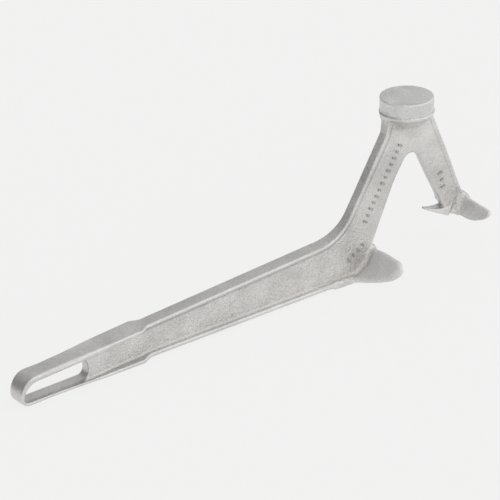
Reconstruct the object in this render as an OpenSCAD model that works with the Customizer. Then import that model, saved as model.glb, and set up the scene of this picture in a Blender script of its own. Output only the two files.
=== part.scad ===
// One-piece cast pail opener and lid hammer, resting on its grip and heel.
// Side profile lies in X-Z, X from the grip towards the hammer head, Y across.

/* [Grip loop] */
// Outer radius of the round end of the grip
grip_end_r = 8.7; // [7.5:0.1:10]
// Width of the grip at its round end
grip_end_w = 14.8; // [13:0.1:16.5]
// Thickness of the strap round the hanging slot
strap_t = 2.4; // [2:0.1:3]
// Thickness of the strap at the grip's very end
end_strap_t = 3.1; // [2.4:0.1:3.6]
// Distance from the grip end to the far end of the hanging slot
slot_end_x = 48; // [42:0.5:50]
// Distance from the grip end to where the solid handle starts
loop_l = 55; // [52:0.5:60]

/* [Handle] */
// Height of the handle's top face above the rest plane, carried back to the grip end
top_z0 = 17.26; // [16.5:0.02:18]
// Rise of the top face per millimetre of handle
top_rise = 0.058; // [0.045:0.001:0.07]
// Flange width at the end of the grip
grip_w = 17.4; // [16:0.1:19]
// Flange width along the shank
shank_w = 11; // [10:0.1:12.5]
// Distance from the grip end to the middle of the step in width
step_x = 87; // [83:0.5:91]
// Length of the step in width
step_l = 7; // [5:0.5:9]
// Flange thickness
flange_t = 3; // [2.5:0.1:3.5]
// Web thickness of the handle
web_t = 5; // [4:0.1:6]
// Gap under the shank's lower flange
shank_gap = 1.4; // [1:0.1:1.8]

/* [Elbow and arm] */
// Angle of the arm's outer face above the rest plane
arm_angle = 54.7; // [52:0.1:57]
// Distance from the grip end to the corner of the handle's top and the arm's back
elbow_x = 225.7; // [223:0.1:228]
// Radius of the bend of the outer face
elbow_r = 30; // [24:0.5:34]
// Width of the strap along the arm's back
arm_w = 7.4; // [6.5:0.1:8.5]
// Thickness of the strap along the arm's back
arm_strap_t = 3; // [2.5:0.1:3.5]
// Thickness of the arm, yoke and leg webs
arm_web_t = 6; // [5:0.1:6.4]

/* [Heel] */
// Outer radius of the quarter-round heel
heel_r = 22.5; // [21.5:0.1:23.5]
// Thickness of the heel
heel_t = 3.4; // [2.8:0.1:4]
// Half of the heel's width
heel_half_w = 36; // [32:0.1:37]
// Height of the heel's upper edge
heel_top = 17.2; // [16:0.1:18.5]

/* [Hammer head] */
// Radius of the hammer face
head_r = 16; // [15:0.1:16.5]
// Thickness of the head
head_t = 10.8; // [9:0.1:12]
// Forward tilt of the head's axis
head_tilt = 6.9; // [5:0.1:8]
// Chamfer round the hammer face
head_chamfer = 0.6; // [0.3:0.1:1]
// Depth of the flare under the head
flare_h = 6; // [4:0.5:7]

/* [Toe and claw] */
// Half of the toe's width
toe_half_w = 31.2; // [28:0.1:34]
// Radius of the toe's curl
toe_r = 12; // [11:0.1:13]
// Thickness of the toe
toe_t = 2.6; // [2:0.1:3]
// Width of the ridge along the leg's outer face
leg_w = 7; // [6.5:0.1:8]
// Thickness of the ridge along the leg's outer face
leg_ridge_t = 2.4; // [2:0.1:3]
// Claw width at its root
claw_root_w = 9; // [7:0.1:11]
// Claw width at its tip
claw_tip_w = 2.8; // [2:0.1:5]
// Claw thickness
claw_t = 1.8; // [1.5:0.1:2.2]

/* [Raised marks] */
// Height of the raised casting marks
mark_h = 0.5; // [0.3:0.1:0.7]
// Length of a raised bar across the arm
mark_l = 3.2; // [2.5:0.1:4]
// Width of a raised bar
mark_w = 1.2; // [0.8:0.1:1.6]

/* [Hidden] */
$fn = 96;
far = 200;                        // reach of a cutting shape past the part
arc_steps = 12;                   // chords in each drawn bend
cast_web = [0.77, 0.77, 0.76];
cast_face = [0.70, 0.70, 0.70];
cast_dark = [0.60, 0.60, 0.59];

// Key places of the side profile, [x, z], before the part is centred
elbow_top = [elbow_x, top_z0 + top_rise * elbow_x];
top_angle = atan(top_rise);
bend = arm_angle - top_angle;
bend_len = elbow_r * tan(bend / 2);
arm_dir = [cos(arm_angle), sin(arm_angle)];
top_dir = [cos(top_angle), sin(top_angle)];
bend_start = elbow_top - bend_len * top_dir;
bend_end = elbow_top + bend_len * arm_dir;
bend_centre = bend_start + elbow_r * [-top_dir[1], top_dir[0]];
arm_back_l = 51.5;                // outer corner to the kink below the head
arm_back_top = elbow_top + (arm_back_l + bend_len) * arm_dir;
heel_centre = [227, heel_r];
heel_root_x = heel_centre[0] - 8;
arm_inner_low = [245.4, heel_top];
arm_inner_mid = [267, 53.7];
arm_foot = [1.4, 2.3];            // from the heel's upper edge to the arm's lower end
crotch_centre = [279.6, 60.4];
crotch_r = 5.6;
crotch_back = crotch_centre + crotch_r * [cos(145), sin(145)];
crotch_front = crotch_centre + crotch_r * [cos(17), sin(17)];
leg_inner_mid = [288.9, 50.1];
leg_inner_low = [295.4, 31.2];
head_face = [282.6, 102.5];
head_axis = [sin(head_tilt), cos(head_tilt)];
head_across = [cos(head_tilt), -sin(head_tilt)];
head_base = head_face - head_t * head_axis;
head_back = head_base - head_r * head_across;
head_front = head_base + (head_r - 1) * head_across;
leg_outer_mid = [303.9, 60];
toe_centre = [302.3, 28.9];
toe_top = [310.9, 31];              // where the leg's outer face flares to the toe
toe_top_angle = -6;
toe_low_angle = -62;
leg_corner = [298.6, 19.6];
claw_root = [300, 20.4];
claw_tip = [285.4, 28.6];
elbow_cut_x = 204;                // where the handle ends and the elbow starts
part_l = toe_centre[0] + toe_r;   // the toe's front is the part's furthest point
arm_cut = bend_end + 2 * arm_dir; // where the elbow ends and the arm starts

function top_z(x) = top_z0 + top_rise * x;
function arc(c, r, a0, a1) =
    [for (i = [0:arc_steps]) let (a = a0 + (a1 - a0) * i / arc_steps)
        [c[0] + r * cos(a), c[1] + r * sin(a)]];
function smooth(t) = t <= 0 ? 0 : t >= 1 ? 1 : t * t * (3 - 2 * t);
function half_width(x) = x < step_x - step_l / 2
    ? (grip_end_w + (grip_w - grip_end_w) * x / (step_x - step_l / 2)) / 2
    : (grip_w + (shank_w - grip_w) * smooth((x - step_x) / step_l + 0.5)) / 2;

// A side profile made w wide, centred on the middle plane
module side(w) {
    translate([-part_l / 2, w / 2, 0])
        rotate([90, 0, 0])
            linear_extrude(w) children();
}

// The outline of the handle seen from above, between two stations
module handle_plan(x0, x1) {
    stations = concat([x0],
        [for (i = [0:arc_steps]) let (x = step_x + step_l * (i / arc_steps - 0.5))
            if (x > x0 && x < x1) x], [x1]);
    near = [for (x = stations) [x, -half_width(x)]];
    count = len(stations) - 1;
    other = [for (i = [count:-1:0]) [stations[i], half_width(stations[i])]];
    translate([-part_l / 2, 0, -far / 2])
        linear_extrude(far) polygon(concat(near, other));
}

// A strip of the side profile that follows the handle's top face
module top_strip(x0, x1, depth) {
    polygon([[x0, top_z(x0)], [x1, top_z(x1)], [x1, top_z(x1) - depth], [x0, top_z(x0) - depth]]);
}

// The space inside the strap: round at the grip's end, open towards the handle
module strap_inside() {
    r0 = grip_end_r - strap_t;
    x0 = end_strap_t + r0;
    translate([x0, grip_end_r]) circle(r0);
    polygon([[x0, grip_end_r - r0], [loop_l, flange_t],
             [loop_l, top_z(loop_l) - flange_t], [x0, grip_end_r + r0]]);
}

// The web's end, hollowed to the round end of the hanging slot
module slot_end() {
    slot_r = (top_z(slot_end_x) - 2 * strap_t) / 2;
    slot_x = slot_end_x - slot_r;
    difference() {
        intersection() {
            strap_inside();
            translate([slot_x, 0]) square([loop_l - slot_x, 2 * grip_w]);
        }
        translate([slot_x, strap_t + slot_r]) circle(slot_r);
    }
}

module grip_loop() {
    color(cast_face) {
        intersection() {
            side(grip_w) difference() {
                union() {
                    translate([grip_end_r, grip_end_r]) circle(grip_end_r);
                    polygon([[grip_end_r, 0], [loop_l, 0], [loop_l, top_z(loop_l)],
                             [grip_end_r, top_z(grip_end_r)]]);
                }
                strap_inside();
            }
            handle_plan(-1, loop_l);
        }
        side(web_t) slot_end();
    }
}

module grip_web() {
    color(cast_web) side(web_t)
        polygon([[loop_l, flange_t], [step_x, flange_t],
                 [step_x, top_z(step_x) - flange_t], [loop_l, top_z(loop_l) - flange_t]]);
}

module grip_top_flange() {
    color(cast_face) intersection() {
        side(grip_w) top_strip(loop_l, step_x, flange_t);
        handle_plan(loop_l, step_x);
    }
}

module grip_lower_flange() {
    color(cast_face) intersection() {
        side(grip_w) polygon([[loop_l, 0], [step_x - step_l / 2, 0], [step_x, shank_gap / 2],
                              [step_x, flange_t], [loop_l, flange_t]]);
        handle_plan(loop_l, step_x);
    }
}

module shank_web() {
    color(cast_web) side(web_t)
        polygon([[step_x, shank_gap + flange_t], [elbow_cut_x, shank_gap + flange_t],
                 [elbow_cut_x, top_z(elbow_cut_x) - flange_t],
                 [step_x, top_z(step_x) - flange_t]]);
}

module shank_top_flange() {
    color(cast_face) intersection() {
        side(grip_w) top_strip(step_x, elbow_cut_x, flange_t);
        handle_plan(step_x, elbow_cut_x);
    }
}

module shank_lower_flange() {
    color(cast_face) intersection() {
        side(grip_w) polygon([[step_x, shank_gap / 2], [step_x + step_l / 2, shank_gap],
                              [heel_root_x, shank_gap], [heel_root_x, shank_gap + flange_t],
                              [step_x, shank_gap + flange_t]]);
        handle_plan(step_x, heel_root_x);
    }
}

// The outer face of the elbow, set in by a depth
function elbow_line(depth) = concat(
    [[elbow_cut_x, top_z(elbow_cut_x) - depth]],
    arc(bend_centre, elbow_r + depth, top_angle - 90, arm_angle - 90),
    [arm_cut + depth * [arm_dir[1], -arm_dir[0]]]);
function reversed(v) = [for (i = [len(v) - 1:-1:0]) v[i]];

module elbow_strap() {
    color(cast_face) intersection() {
        side(shank_w) polygon(concat(elbow_line(0), reversed(elbow_line(flange_t))));
        strap_plan();
    }
}

// The strap narrows from the shank's width to the arm's round the bend
module strap_plan() {
    translate([-part_l / 2, 0, -far / 2]) linear_extrude(far)
        polygon([[elbow_cut_x, -shank_w / 2], [bend_start[0], -shank_w / 2],
                 [arm_cut[0], -arm_w / 2], [far * 2, -arm_w / 2],
                 [far * 2, arm_w / 2], [arm_cut[0], arm_w / 2],
                 [bend_start[0], shank_w / 2], [elbow_cut_x, shank_w / 2]]);
}

module elbow_web() {
    inner_r = heel_r - heel_t;
    top_turn = asin((heel_top - heel_r) / inner_r);
    color(cast_web) side(arm_web_t)
        polygon(concat(elbow_line(flange_t), [arm_inner_low + arm_foot],
            arc(heel_centre, inner_r, top_turn, -90),
            [[heel_root_x, heel_t], [heel_root_x, shank_gap + flange_t],
             [elbow_cut_x, shank_gap + flange_t]]));
}

// The heel seen from the front: a shallow curve below, round tips, a level top
module heel_front() {
    belly_r = 85;
    tip_r = 6;
    intersection() {
        translate([0, belly_r]) circle(belly_r);
        union() {
            translate([-heel_half_w + tip_r, -1]) square([2 * (heel_half_w - tip_r), heel_top + 1]);
            translate([-heel_half_w, -1]) square([2 * heel_half_w, heel_top + 1 - tip_r]);
            for (s = [-1, 1])
                translate([s * (heel_half_w - tip_r), heel_top - tip_r]) circle(tip_r);
        }
    }
}

// The heel seen from above: a fan that spreads from the flange's width
module heel_plan() {
    fan = [[heel_root_x, shank_w / 2], [heel_centre[0] + 3, shank_w / 2 + 1],
           [heel_centre[0] + 14.4, heel_half_w - 5], [heel_centre[0] + 18, heel_half_w],
           [heel_centre[0] + heel_r, heel_half_w]];
    translate([-part_l / 2, 0, 0]) linear_extrude(heel_r)
        polygon(concat(fan, [for (p = reversed(fan)) [p[0], -p[1]]]));
}

module heel_rocker() {
    color(cast_dark) intersection() {
        side(2 * heel_half_w) difference() {
            union() {
                intersection() {
                    translate(heel_centre) circle(heel_r);
                    translate([heel_centre[0], 0]) square(heel_r);
                }
                translate([heel_root_x, 0])
                    square([heel_centre[0] - heel_root_x, heel_t]);
            }
            translate(heel_centre) circle(heel_r - heel_t);
        }
        translate([-part_l / 2, 0, 0]) rotate([90, 0, 90])
            linear_extrude(part_l) heel_front();
        heel_plan();
    }
}

module arm_strap() {
    inward = arm_strap_t * [arm_dir[1], -arm_dir[0]];
    color(cast_dark) side(arm_w)
        polygon([arm_cut, arm_back_top, head_back, head_back + [arm_strap_t, 0],
                 arm_back_top + inward, arm_cut + inward]);
}

module arm_web() {
    inward = arm_strap_t * [arm_dir[1], -arm_dir[0]];
    color(cast_web) side(arm_web_t)
        polygon([arm_cut + inward, arm_back_top + inward, crotch_back, arm_inner_mid,
                 arm_inner_low + arm_foot]);
}

module yoke() {
    inward = arm_strap_t * [arm_dir[1], -arm_dir[0]];
    color(cast_web) side(arm_web_t)
        polygon(concat([arm_back_top + inward, head_back + [arm_strap_t, 0], head_front,
                 leg_outer_mid + [-leg_ridge_t, 0]],
                arc(crotch_centre, crotch_r, 17, 145)));
}

module head_flare() {
    color(cast_face) difference() {
        place_on_head(-flare_h) cylinder(h = flare_h, r1 = head_r - flare_h, r2 = head_r - 0.4);
        side(arm_w) square([2 * far, 2 * far]);
    }
}

// Move a shape so that its Z axis is the head's, a distance above the head's base
module place_on_head(up) {
    translate([head_base[0] - part_l / 2, 0, head_base[1]])
        rotate([0, head_tilt, 0]) translate([0, 0, up]) children();
}

module hammer_head() {
    color(cast_face) place_on_head(0) {
        cylinder(h = head_t - head_chamfer, r = head_r);
        translate([0, 0, head_t - head_chamfer])
            cylinder(h = head_chamfer, r1 = head_r, r2 = head_r - head_chamfer);
    }
}

// The toe's curl in the side profile, at a radius
function toe_line(r) = arc(toe_centre, r, toe_top_angle, toe_low_angle);

module leg_web() {
    color(cast_web) side(arm_web_t)
        polygon(concat([crotch_front, leg_outer_mid + [-leg_ridge_t, 0],
                        toe_top + [-leg_ridge_t, 0]],
                       toe_line(toe_r - toe_t),
                       [leg_corner + [4, 1], leg_corner, leg_inner_low, leg_inner_mid]));
}

module leg_ridge() {
    color(cast_face) side(leg_w)
        polygon([head_front, leg_outer_mid, toe_top, toe_line(toe_r)[0],
                 toe_line(toe_r - toe_t)[0], toe_top + [-leg_ridge_t, 0],
                 leg_outer_mid + [-leg_ridge_t, 0]]);
}

module toe_foot() {
    low = 18.2;
    tip_z = 25.3;
    high = 26.8;
    half = [[0, low], [14, low + 0.7], [21, low + 1.4], [toe_half_w - 4.6, low + 2.8],
            [toe_half_w - 1.6, low + 5], [toe_half_w, tip_z], [toe_half_w - 1.8, high]];
    color(cast_dark) intersection() {
        side(2 * toe_half_w)
            polygon(concat(toe_line(toe_r), reversed(toe_line(toe_r - toe_t))));
        translate([-part_l / 2, 0, 0]) rotate([90, 0, 90]) linear_extrude(part_l) {
            polygon(concat(half, [for (p = reversed(half)) [-p[0], p[1]]]));
            translate([-leg_w / 2, low]) square([leg_w, toe_top[1] - low]);
        }
    }
}

module claw() {
    run = claw_tip - claw_root;
    length = norm(run);
    slope = atan2(run[1], -run[0]);
    color(cast_dark)
        translate([claw_root[0] - part_l / 2, 0, claw_root[1]]) rotate([0, slope, 0])
            translate([0, 0, -claw_t]) linear_extrude(claw_t)
                polygon([[0, -claw_root_w / 2], [-length * 0.4, -claw_root_w / 2],
                         [-length, -claw_tip_w / 2], [-length, claw_tip_w / 2],
                         [-length * 0.4, claw_root_w / 2], [0, claw_root_w / 2]]);
}

// A row of plain raised bars along a direction on the near face of a web
module mark_row(start, dir, count, pitch) {
    turn = atan2(dir[1], dir[0]);
    for (i = [0:count - 1]) {
        p = start + i * pitch * dir;
        translate([p[0] - part_l / 2, -arm_web_t / 2, p[1]]) rotate([90, 0, 0])
            rotate([0, 0, turn]) translate([-mark_w / 2, -mark_l / 2, 0])
                cube([mark_w, mark_l, mark_h]);
    }
}

module arm_marks() {
    color(cast_face) mark_row([243.6, 34.6], [0.59, 0.807], 13, 4.1);
}

module elbow_marks() {
    color(cast_face) mark_row([229.6, 14.2], [0.861, 0.509], 4, 4.2);
}

module leg_marks() {
    color(cast_face) mark_row([297.6, 47.6], [0.1, -0.995], 3, 4.6);
}

grip_loop();
grip_web();
grip_top_flange();
grip_lower_flange();
shank_web();
shank_top_flange();
shank_lower_flange();
elbow_web();
elbow_strap();
heel_rocker();
arm_web();
arm_strap();
yoke();
head_flare();
hammer_head();
leg_web();
leg_ridge();
toe_foot();
claw();
arm_marks();
elbow_marks();
leg_marks();
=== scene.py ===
"""A one-piece cast pail opener and lid hammer, resting on its grip and its heel.

The tool is cast in one piece, so its skin is one smooth field of distances. The field is
meshed once and then divided into the tool's regions: loop, handle, elbow, heel, arm, yoke,
hammer head, leg, toe and claw. Sizes are in millimetres in the tool's own side view, X from
the grip's end and Z from the rest plane, and become metres when a mesh is made.
"""

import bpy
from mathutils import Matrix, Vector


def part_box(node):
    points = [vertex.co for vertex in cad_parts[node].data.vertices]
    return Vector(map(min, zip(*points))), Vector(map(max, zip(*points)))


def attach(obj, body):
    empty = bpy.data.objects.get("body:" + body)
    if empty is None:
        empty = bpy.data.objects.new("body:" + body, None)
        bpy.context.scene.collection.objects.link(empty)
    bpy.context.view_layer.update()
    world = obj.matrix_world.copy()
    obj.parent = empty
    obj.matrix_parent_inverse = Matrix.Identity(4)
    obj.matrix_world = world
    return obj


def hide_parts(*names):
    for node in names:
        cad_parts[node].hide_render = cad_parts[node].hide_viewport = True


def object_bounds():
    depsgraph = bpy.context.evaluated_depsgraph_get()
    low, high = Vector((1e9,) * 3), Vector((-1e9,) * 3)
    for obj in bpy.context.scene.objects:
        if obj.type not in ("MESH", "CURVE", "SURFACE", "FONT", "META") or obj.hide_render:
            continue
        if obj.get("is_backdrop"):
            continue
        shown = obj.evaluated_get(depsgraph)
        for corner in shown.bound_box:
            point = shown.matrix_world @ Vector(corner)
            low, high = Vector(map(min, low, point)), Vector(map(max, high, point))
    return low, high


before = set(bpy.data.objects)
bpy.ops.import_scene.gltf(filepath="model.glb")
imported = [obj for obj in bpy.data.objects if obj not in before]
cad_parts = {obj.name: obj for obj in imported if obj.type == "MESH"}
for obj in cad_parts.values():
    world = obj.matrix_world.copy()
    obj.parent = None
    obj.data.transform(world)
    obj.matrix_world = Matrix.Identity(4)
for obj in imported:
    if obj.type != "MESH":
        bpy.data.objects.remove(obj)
CAD_LOW, CAD_HIGH = (v.copy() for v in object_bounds())

import logging
import math
from dataclasses import dataclass, field
from enum import Enum

import bmesh
import bpy
import numpy as np
from mathutils import Matrix, Vector

log = logging.getLogger("pail_opener")
MM = 0.001
POINT_LIKE = 1e-12  # square of the length under which a chord counts as a point
CUT_TOLERANCE = 1e-5
Array = np.ndarray
Point = tuple[float, float]


class Slot(Enum):
    """The record's material slots."""

    CAST = "cast_skin"
    HANDLED = "handled_skin"
    STRUCK = "struck_face"


class Look(Enum):
    """How a stretch of a skin looks within its slot."""

    PLAIN = "plain"
    # Rougher, and painted lighter: painted light on the heel's and toe's wings.
    MATT_PAINTED_LIGHT = "matt_painted_light"
    SHADED = "shaded"


# ---------------------------------------------------------------- distances and outlines


def round_cut(a: Array, b: Array, radius: float | Array) -> Array:
    """Keep what lies inside both shapes, with the edge between them rounded.

    Args:
        a: Distance to the first shape, negative inside.
        b: Distance to the second shape.
        radius: Radius of the rounded edge.

    Returns:
        Distance to the shape that they share.
    """
    outside = np.hypot(np.maximum(a + radius, 0), np.maximum(b + radius, 0))
    return np.minimum(-radius, np.maximum(a, b)) + outside


def round_join(a: Array, b: Array, radius: float | Array) -> Array:
    """Join two shapes, with a fillet where they meet.

    Args:
        a: Distance to the first shape, negative inside.
        b: Distance to the second shape.
        radius: Radius of the fillet.

    Returns:
        Distance to the joined shape.
    """
    inside = np.hypot(np.maximum(radius - a, 0), np.maximum(radius - b, 0))
    return np.maximum(radius, np.minimum(a, b)) - inside


def ramp(at: Array, start: float, end: float) -> Array:
    """A smooth rise from 0 at start to 1 at end."""
    t = np.clip((at - start) / (end - start), 0, 1)
    return t * t * (3 - 2 * t)


def polar(centre: Point, radius: float, degrees: float) -> Point:
    """The point on a circle at an angle from the first axis."""
    turn = math.radians(degrees)
    return centre[0] + radius * math.cos(turn), centre[1] + radius * math.sin(turn)


def direction(degrees: float) -> Point:
    """The unit vector at an angle from the first axis."""
    return polar((0.0, 0.0), 1.0, degrees)


def along(start: Point, way: Point, run: float) -> Point:
    """The point a distance from start along a unit vector."""
    return start[0] + way[0] * run, start[1] + way[1] * run


@dataclass
class Outline:
    """A closed line of straight stretches, rounded corners and arcs."""

    tolerance: float = 0.008
    corners: list[tuple[float, float, float]] = field(default_factory=list)
    line: Array | None = None

    def corner(self, at: Point, radius: float = 0.0) -> "Outline":
        """Add a corner with a radius."""
        self.corners.append((at[0], at[1], radius))
        return self

    def arc(self, centre: Point, radius: float, start: float, end: float) -> "Outline":
        """Add an arc, from one angle to another in degrees."""
        count = self._chords(radius, math.radians(end - start))
        for step in range(count + 1):
            self.corner(polar(centre, radius, start + (end - start) * step / count))
        return self

    def _chords(self, radius: float, turn: float) -> int:
        """How many chords an arc takes to stay within the tolerance."""
        return max(2, math.ceil(abs(turn) / (2 * math.acos(1 - self.tolerance / radius))))

    def close(self) -> "Outline":
        """Round every corner and keep the finished line."""
        count = len(self.corners)
        points: list[Point] = []
        for i, (u, v, radius) in enumerate(self.corners):
            before = self.corners[i - 1][:2]
            after = self.corners[(i + 1) % count][:2]
            points += self._rounded((u, v), before, after, radius)
        self.line = np.array(points)
        return self

    def _rounded(self, at: Point, before: Point, after: Point, radius: float) -> list[Point]:
        """The points of one corner.

        Args:
            at: The corner itself.
            before: The corner before it.
            after: The corner after it.
            radius: Its radius, made smaller where the sides are too short for it.

        Returns:
            The corner alone, or the arc that rounds it.
        """
        if radius <= 0:
            return [at]
        corner, a, b = Vector(at), Vector(before) - Vector(at), Vector(after) - Vector(at)
        half = a.angle(b) / 2
        room = min(a.length, b.length) * 0.5
        run = min(radius / math.tan(half), room)
        bend = run * math.tan(half)
        middle = corner + (a.normalized() + b.normalized()).normalized() * bend / math.sin(half)
        start, end = corner + a.normalized() * run, corner + b.normalized() * run
        first = math.atan2(*(start - middle).yx)
        turn = math.remainder(math.atan2(*(end - middle).yx) - first, math.tau)
        count = self._chords(bend, turn)
        return [
            polar(tuple(middle), bend, math.degrees(first + turn * k / count))
            for k in range(count + 1)
        ]

    def distance(self, u: Array, v: Array) -> Array:
        """Distance to the line, negative inside it.

        Args:
            u: First coordinate of each place.
            v: Second coordinate of each place.

        Returns:
            The distance at every place.
        """
        shape = np.broadcast_shapes(np.shape(u), np.shape(v))
        nearest = np.full(shape, np.inf, dtype=np.result_type(u, v))
        inside = np.zeros(shape, dtype=bool)
        for (u0, v0), (u1, v1) in zip(self.line, np.roll(self.line, -1, axis=0), strict=True):
            du, dv = u1 - u0, v1 - v0
            square = du * du + dv * dv
            if square < POINT_LIKE:
                continue
            wu, wv = u - u0, v - v0
            t = np.clip((wu * du + wv * dv) / square, 0, 1)
            nearest = np.minimum(nearest, (wu - du * t) ** 2 + (wv - dv * t) ** 2)
            crossing = (v >= v0) != (v >= v1)
            left = (du * wv > dv * wu) == (dv > 0)
            inside ^= crossing & left
        return np.where(inside, -1, 1) * np.sqrt(nearest)


# ---------------------------------------------------------------- the tool's side view


@dataclass(frozen=True)
class Profile:
    """The side view that every region of the casting shares."""

    grip_z: float = 17.26
    rise: float = 0.058
    elbow_x: float = 225.7
    elbow_r: float = 30.0
    arm_angle: float = 54.7
    arm_back_l: float = 51.5
    kink_r: float = 3.0
    heel_centre: Point = (227.0, 22.5)
    heel_top: float = 17.2
    shank_gap: float = 1.4
    step_x: float = 87.0
    step_l: float = 7.0
    step_r: float = 6.0
    loop_l: float = 55.0
    elbow_cut_x: float = 204.0
    head_face: Point = (282.6, 102.5)
    head_tilt: float = 6.9
    toe_centre: Point = (302.3, 28.9)

    def top(self, x: Array | float) -> Array | float:
        """Height of the handle's top face."""
        return self.grip_z + self.rise * x

    @property
    def top_angle(self) -> float:
        """Slope of the handle's top face, in degrees."""
        return math.degrees(math.atan(self.rise))

    @property
    def arm_way(self) -> Point:
        """Unit vector up the arm."""
        return direction(self.arm_angle)

    @property
    def elbow_top(self) -> Point:
        """Corner of the handle's top and the arm's back."""
        return self.elbow_x, self.top(self.elbow_x)

    @property
    def bend_run(self) -> float:
        """Distance from that corner to either end of the bend."""
        return self.elbow_r * math.tan(math.radians(self.arm_angle - self.top_angle) / 2)

    @property
    def bend_start_x(self) -> float:
        """Where the bend leaves the handle's top face."""
        return along(self.elbow_top, direction(self.top_angle), -self.bend_run)[0]

    @property
    def arm_cut(self) -> Point:
        """Where the elbow ends and the arm starts, on the arm's back."""
        return along(self.elbow_top, self.arm_way, self.bend_run + 2)

    @property
    def arm_back_top(self) -> Point:
        """The kink of the arm's back below the head."""
        return along(self.elbow_top, self.arm_way, self.arm_back_l + self.bend_run)

    @property
    def head_axis(self) -> Point:
        """Unit vector out of the hammer face."""
        return direction(90 - self.head_tilt)

    @property
    def head_across(self) -> Point:
        """Unit vector across the head, away from the grip."""
        return direction(-self.head_tilt)


@dataclass
class Region:
    """A part of the casting that is kept as one piece."""

    name: str
    nodes: tuple[str, ...]
    slot: Slot
    look: Look = Look.PLAIN


@dataclass
class Cut:
    """A flat cut that divides the casting: ahead of it, behind it, or a region itself."""

    point: tuple[float, float, float]
    normal: tuple[float, float, float]
    ahead: "Cut | Region"
    behind: "Cut | Region"


def side_cut(point: Point, normal: Point, ahead: "Cut | Region", behind: "Cut | Region") -> Cut:
    """A cut square to the side view."""
    return Cut((point[0], 0.0, point[1]), (normal[0], 0.0, normal[1]), ahead, behind)


def node_size(node: str, axis: int) -> float:
    """A CAD node's size along an axis, in millimetres."""
    low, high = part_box(node)
    return (high[axis] - low[axis]) / MM


@dataclass
class Handle:
    """The grip loop and the ribbed handle, as far as the elbow."""

    profile: Profile
    low_r: float = 6.0
    end_half_w: float = 7.4
    half_w: float = field(default_factory=lambda: node_size("grip_top_flange", 1) / 2)
    shank_half_w: float = field(default_factory=lambda: node_size("elbow_strap", 1) / 2)
    web_half_t: float = field(default_factory=lambda: node_size("grip_web", 1) / 2)
    strap_t: float = 3.4
    lower_strap_t: float = 1.7
    end_strap_t: float = 2.4
    inner_low_r: float = 3.0
    slot_end_x: float = 48.0
    slot_r: float = 7.0
    inner_r: float = 40.0
    soft_edge: float = 1.5
    soft_rise: Point = (8.0, 22.0)
    soft_fall: Point = (34.0, 62.0)
    web_root_half_t: float = 4.2
    web_thins: Point = (40.0, 80.0)
    crown: float = 1.0
    lower_taper: float = 1.5
    flange_t: float = 2.3
    fillet: float = 1.8
    edge: float = 1.1
    inner_edge: float = 1.0
    cut_gap: float = 0.4

    def half_width(self, x: Array, z: Array) -> Array:
        """Half of the width over the flanges, less towards the underside of the grip."""
        start = self.profile.step_x - self.profile.step_l / 2
        down = np.clip(1 - z / self.profile.top(x), 0, 1)
        grip = self.end_half_w + (self.half_w - self.end_half_w) * np.clip(x / start, 0, 1)
        grip = grip - self.lower_taper * down
        step = ramp(x, start, start + self.profile.step_l)
        return grip + (self.shank_half_w - grip) * step

    def round_end(self, line: Outline, left: float, low: float, radius: float,
                  high: float) -> None:
        """Draw the grip's end: a small arc below and a large one that meets the top.

        Args:
            line: The outline to draw on.
            left: How far the end lies from the grip's end.
            low: Height of its lower line.
            radius: Radius of the lower arc.
            high: Height of its upper line, carried back to the grip's end.
        """
        rise, slant = self.profile.rise, math.hypot(1, self.profile.rise)
        large = (high + rise * left - low - radius) / (slant - rise)
        line.arc((left + radius, low + radius), radius, 270, 180)
        line.arc((left + large, low + radius), large, 180, 90 + self.profile.top_angle)

    def slot(self, x: Array, z: Array) -> Array:
        """The hanging slot, which ends the web."""
        high = self.profile.top(self.slot_end_x) - self.strap_t
        outline = Outline()
        outline.corner((-self.slot_r, self.lower_strap_t)).corner((-self.slot_r, high))
        outline.corner((self.slot_end_x, high), self.slot_r)
        outline.corner((self.slot_end_x, self.lower_strap_t), self.slot_r)
        return outline.close().distance(x, z)

    def cuts(self, rest: Cut) -> Cut:
        """Divide the loop, the grip and the shank.

        Args:
            rest: The cuts beyond the elbow.

        Returns:
            The cuts of the whole tool.
        """
        profile = self.profile
        low = self.flange_t + self.fillet + self.cut_gap
        high = profile.grip_z - low
        up = (-profile.rise, 1.0)

        def bay(name: str, floor: float) -> Cut:
            """The two flanges and the web of one stretch."""
            web = Region(f"{name}_web_body", (f"{name}_web",), Slot.CAST)
            lower = Region(f"{name}_lower_flange_body", (f"{name}_lower_flange",), Slot.HANDLED)
            upper = Region(f"{name}_top_flange_body", (f"{name}_top_flange",), Slot.HANDLED)
            return side_cut((0, high), up, upper, side_cut((0, floor), (0, 1), web, lower))

        loop = Region("grip_loop_body", ("grip_loop",), Slot.HANDLED)
        shank = bay("shank", low + profile.shank_gap)
        ahead_of_step = side_cut((profile.elbow_cut_x, 0), (1, 0), rest, shank)
        ahead_of_loop = side_cut((profile.step_x, 0), (1, 0), ahead_of_step, bay("grip", low))
        return side_cut((profile.loop_l, 0), (1, 0), ahead_of_loop, loop)


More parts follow.
